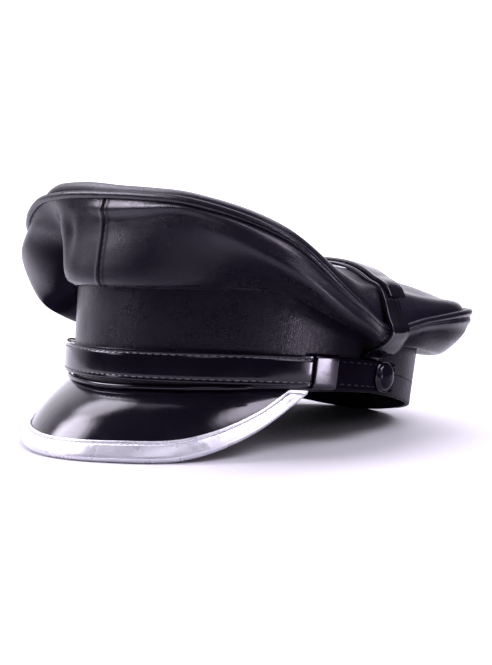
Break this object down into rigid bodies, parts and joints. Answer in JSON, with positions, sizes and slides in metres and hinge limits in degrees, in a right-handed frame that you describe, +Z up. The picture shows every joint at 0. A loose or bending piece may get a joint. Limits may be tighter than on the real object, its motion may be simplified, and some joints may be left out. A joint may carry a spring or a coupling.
{
  "type": "leather biker cap",
  "caption": "High-front leather peaked cap with a soft saddle-shaped crown, patent peak with silver binding, chin straps and a strap over the crown.",
  "frame": {"origin": "middle of the footprint, on the surface that the cap rests on", "axes": "+X forward to the peak, +Y to the wearer's left, +Z up; the cap rests on its peak and the back of its rim, tipped up 8.3 degrees at the front"},
  "size_m": [0.272, 0.2233, 0.1336],
  "materials": {
    "leather": "smooth black leather, satin, fine grain",
    "patent": "black patent leather, high gloss",
    "silver": "metallic silver coated leather, semi-gloss"
  },
  "bodies": {
    "root": {"crown_top": "leather", "crown_piping": "leather", "crown_side_left": "leather", "crown_side_right": "leather", "crown_strap_lower": "patent", "crown_strap_upper": "patent", "band": "leather", "rim_binding": "leather", "peak": "patent", "peak_trim": "silver", "peak_welt": "patent", "chin_strap_inner": "patent", "chin_strap_outer": "patent", "keeper_left": "patent", "keeper_right": "patent", "button_left": "patent", "button_right": "patent"}
  },
  "joints": []
}
